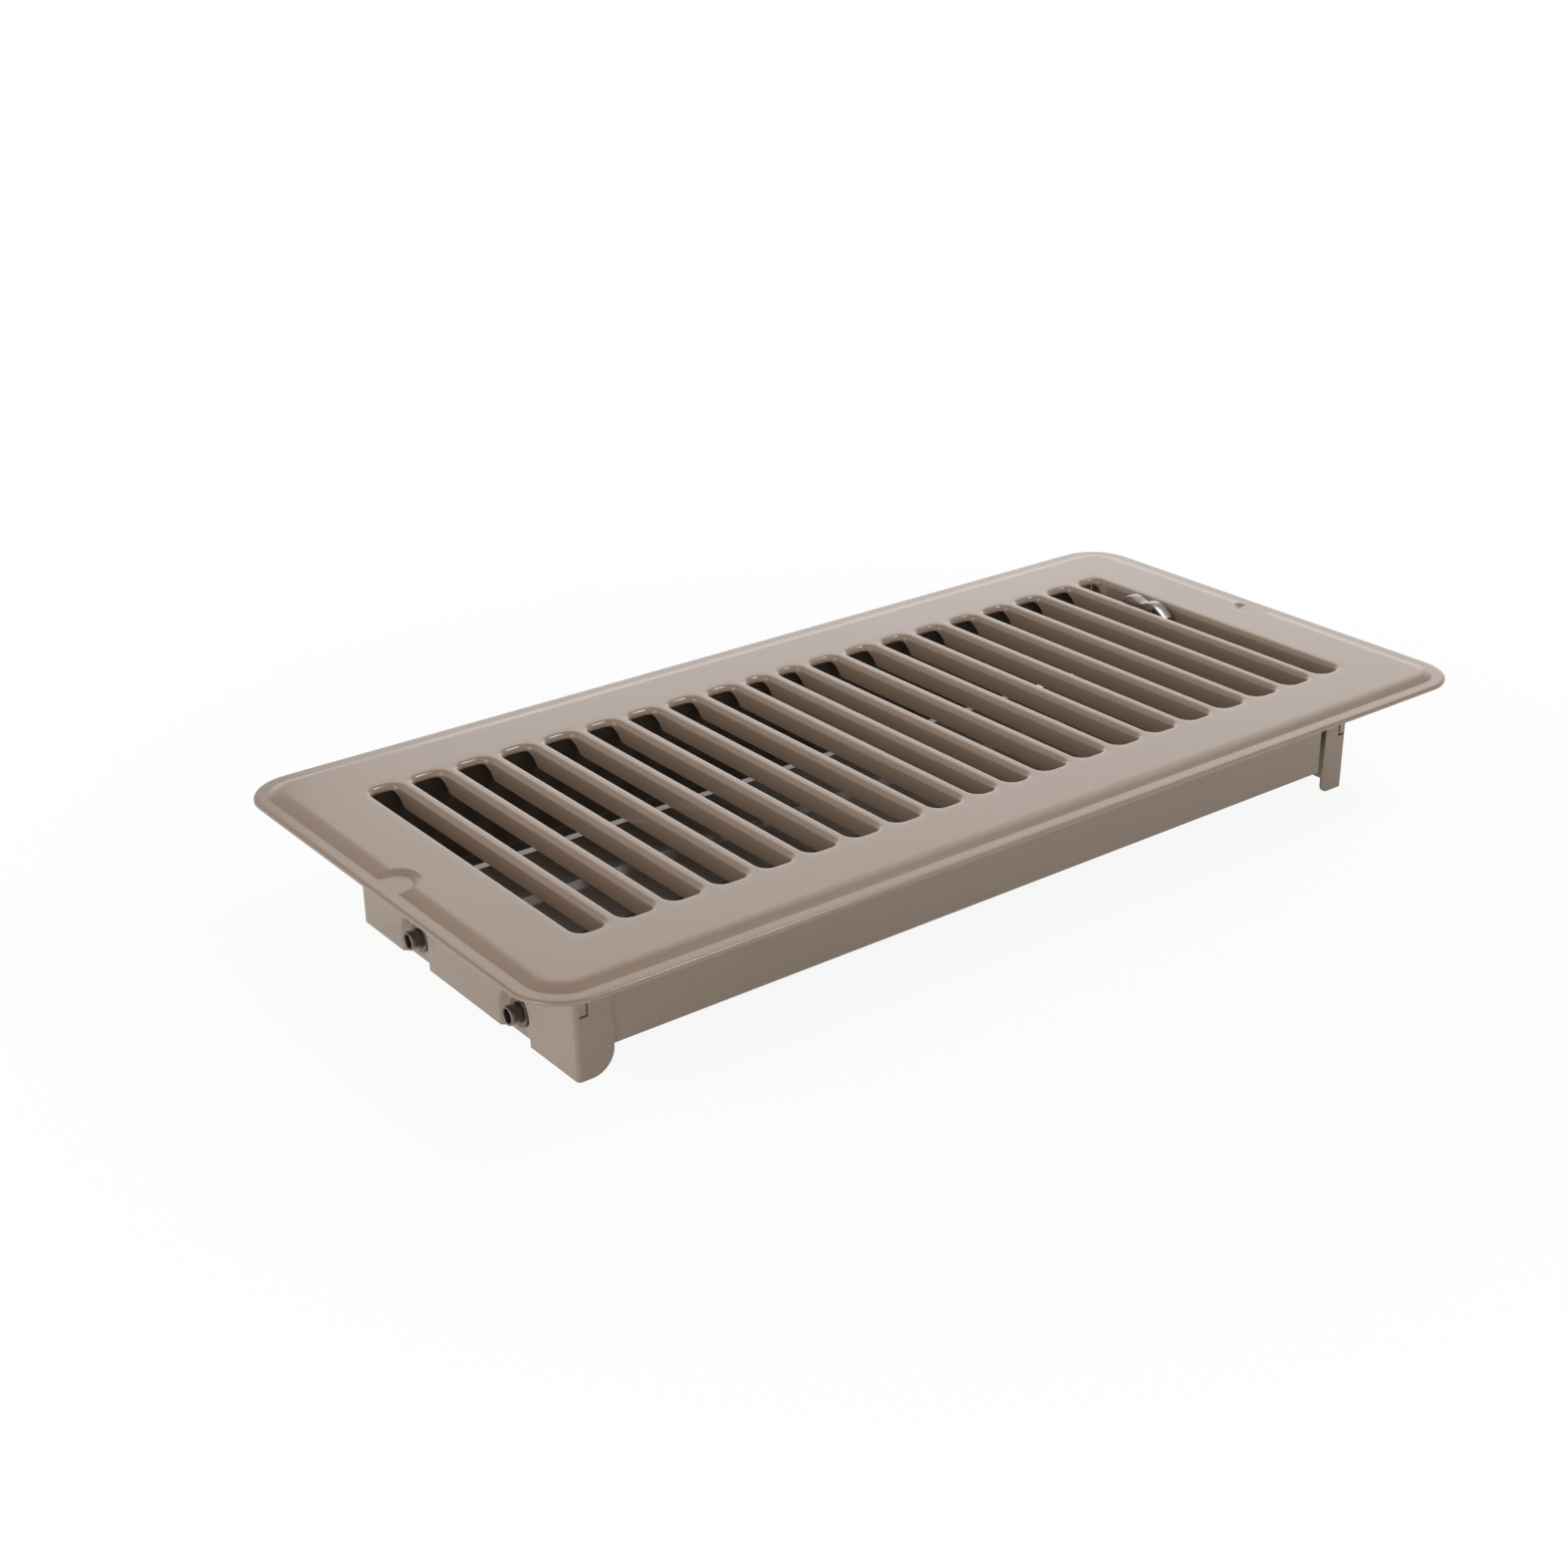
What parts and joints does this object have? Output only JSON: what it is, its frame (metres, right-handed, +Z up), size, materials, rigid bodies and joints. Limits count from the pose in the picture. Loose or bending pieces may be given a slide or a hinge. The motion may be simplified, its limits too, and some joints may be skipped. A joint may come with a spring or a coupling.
{
  "type": "floor register",
  "caption": "Stamped steel floor register for a 4 x 10 in duct opening, with a two-blade damper and a thumb lever, shut.",
  "frame": {"origin": "middle of the register at the level of the end panels' bottom edges", "axes": "+X along the length towards the lever's end, +Y across, +Z up towards the room"},
  "size_m": [0.29, 0.14, 0.0362],
  "materials": {
    "painted_steel": "satin taupe enamel",
    "pivot_steel": "dark bare steel",
    "lever_steel": "bright zinc-plated steel"
  },
  "bodies": {
    "root": {"face_plate": "painted_steel", "front_side_wall": "painted_steel", "rear_side_wall": "painted_steel", "left_end_panel": "painted_steel", "right_end_panel": "painted_steel", "front_left_washer": "pivot_steel", "front_right_washer": "pivot_steel", "rear_left_washer": "pivot_steel", "rear_right_washer": "pivot_steel"},
    "rear_blade": {"rear_blade": "painted_steel", "rear_left_pivot": "pivot_steel", "rear_right_pivot": "pivot_steel", "rear_crank_pin": "lever_steel"},
    "front_blade": {"front_blade": "painted_steel", "front_left_pivot": "pivot_steel", "front_right_pivot": "pivot_steel", "front_crank_pin": "lever_steel"},
    "link": {"link_bar": "lever_steel", "lever": "lever_steel", "lever_rivets": "lever_steel"}
  },
  "joints": [
    {"name": "rear_blade_turn", "type": "hinge", "parent": "root", "child": "rear_blade", "pos_m": [0, 0.0225, 0.0057], "axis": [1, 0, 0], "range_deg": [0, 90]},
    {"name": "front_blade_turn", "type": "hinge", "parent": "root", "child": "front_blade", "pos_m": [0, -0.0225, 0.0057], "axis": [1, 0, 0], "range_deg": [0, 90]},
    {"name": "link_swing", "type": "hinge", "parent": "rear_blade", "child": "link", "pos_m": [0.1153, 0.0324, 0.0156], "axis": [1, 0, 0], "range_deg": [-90, 0]}
  ],
  "couplings": [
    {"joint": "front_blade_turn", "follows": "rear_blade_turn", "ratio": 1},
    {"joint": "link_swing", "follows": "rear_blade_turn", "ratio": -1}
  ]
}
